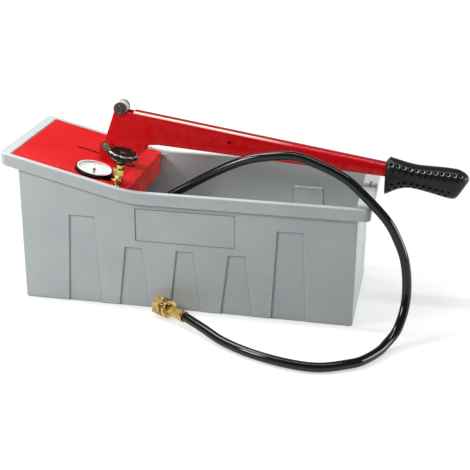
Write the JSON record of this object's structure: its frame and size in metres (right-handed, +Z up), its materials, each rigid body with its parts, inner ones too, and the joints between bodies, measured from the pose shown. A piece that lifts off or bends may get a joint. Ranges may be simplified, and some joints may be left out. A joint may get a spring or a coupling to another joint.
{
  "type": "hydrostatic test pump",
  "caption": "Hand-lever hydrostatic test pump: open water tank with a sloping cover, lever, gauge, shut-off valve and hose.",
  "frame": {"origin": "middle of the tank's base, on the underside", "axes": "+X along the tank towards the grip end, -Y towards the side with the gauge and the shut-off valve, +Z up"},
  "size_m": [0.6305, 0.3358, 0.2718],
  "materials": {
    "grey_tank": "moulded grey polyethylene, satin",
    "red_paint": "gloss red enamel on steel",
    "black_rubber": "moulded, slight sheen",
    "black_plastic": "gloss black",
    "hose_rubber": "smooth extruded cover",
    "brass": "machined, bright",
    "zinc_steel": "zinc plated",
    "grey_nylon": "natural nylon",
    "white_dial": "white enamel",
    "clear_window": "clear"
  },
  "bodies": {
    "tank_unit": {"tank": "grey_tank", "cover_plate": "red_paint", "cover_screw_near": "zinc_steel", "cover_screw_far": "zinc_steel", "head_frame": "red_paint", "barrel": "brass", "gland_nut": "brass", "rod_seal": "black_rubber", "tie_bolt_1": "zinc_steel", "tie_bolt_2": "zinc_steel", "tie_bolt_3": "zinc_steel", "tie_bolt_4": "zinc_steel", "valve_block": "brass", "suction_strainer": "grey_nylon", "suction_retainer": "brass", "delivery_cap": "brass", "riser_pipe": "brass", "riser_nut_lower": "brass", "riser_nut_upper": "brass", "manifold": "brass", "gauge_case": "black_plastic", "gauge_stem": "brass", "gauge_dial": "white_dial", "gauge_window": "clear_window", "valve_body": "brass", "panel_nut": "brass", "packing_nut": "brass", "outlet_elbow": "brass", "tank_ferrule": "zinc_steel", "pivot_pin": "zinc_steel", "pivot_clip_near": "zinc_steel", "pivot_clip_far": "zinc_steel", "hose": "hose_rubber", "end_ferrule": "zinc_steel", "hose_nipple": "brass", "sealing_washer": "black_rubber"},
    "lever": {"lever": "red_paint", "lever_grip": "black_rubber", "pivot_bush_near": "brass", "pivot_bush_far": "brass", "roller_washer_near": "black_plastic", "roller_washer_far": "black_plastic", "roller_pin": "zinc_steel", "link_pin": "zinc_steel"},
    "stop_roller": {"stop_roller": "grey_nylon"},
    "link": {"link": "zinc_steel"},
    "plunger": {"plunger_rod": "zinc_steel", "fork_stub_near": "zinc_steel", "fork_stub_far": "zinc_steel", "piston": "brass", "piston_seal": "black_rubber"},
    "needle": {"gauge_needle": "black_plastic"},
    "valve_stem": {"valve_stem": "brass"},
    "handwheel": {"handwheel": "black_plastic", "wheel_screw": "zinc_steel"},
    "suction_ball": {"suction_ball": "zinc_steel"},
    "delivery_ball": {"delivery_ball": "zinc_steel"},
    "swivel_nut": {"swivel_nut": "brass"}
  },
  "joints": [
    {"name": "lever_pivot", "type": "hinge", "parent": "tank_unit", "child": "lever", "pos_m": [-0.1338, 0, 0.2072], "axis": [0, -1, 0], "range_deg": [0, 109]},
    {"name": "link_pivot", "type": "hinge", "parent": "lever", "child": "link", "pos_m": [-0.102, 0, 0.2], "axis": [0, -1, 0], "range_deg": [-82, 0]},
    {"name": "plunger_slide", "type": "slide", "parent": "tank_unit", "child": "plunger", "axis": [0, 0, 1], "range_m": [0, 0.0416]},
    {"name": "stop_roller_spin", "type": "hinge", "parent": "lever", "child": "stop_roller", "pos_m": [-0.1118, 0, 0.2625], "axis": [0, 1, 0], "continuous": true},
    {"name": "gauge_needle_swing", "type": "hinge", "parent": "tank_unit", "child": "needle", "pos_m": [-0.13524, -0.062, 0.18901], "axis": [-0.2353, 0, -0.9719], "range_deg": [0, 270], "stiffness_Nm_per_rad": 0.0002},
    {"name": "valve_lift", "type": "slide", "parent": "tank_unit", "child": "valve_stem", "axis": [0.2353, 0, 0.9719], "range_m": [0, 0.003]},
    {"name": "handwheel_turn", "type": "hinge", "parent": "valve_stem", "child": "handwheel", "pos_m": [-0.09221, -0.077, 0.20524], "axis": [0.2353, 0, 0.9719], "range_deg": [0, 720]},
    {"name": "suction_ball_lift", "type": "slide", "parent": "tank_unit", "child": "suction_ball", "axis": [0, 0, 1], "range_m": [0, 0.0027]},
    {"name": "delivery_ball_lift", "type": "slide", "parent": "tank_unit", "child": "delivery_ball", "axis": [0, 0, 1], "range_m": [0, 0.002]},
    {"name": "swivel_nut_spin", "type": "hinge", "parent": "tank_unit", "child": "swivel_nut", "pos_m": [-0.034, -0.1075, 0.0148], "axis": [-0.8111, 0.585, 0], "continuous": true}
  ],
  "couplings": [
    {"joint": "link_pivot", "follows": "lever_pivot", "ratio": -0.74614},
    {"joint": "plunger_slide", "follows": "lever_pivot", "m_per_rad": 0.021773},
    {"joint": "handwheel_turn", "follows": "valve_lift", "rad_per_m": 4188.7}
  ]
}
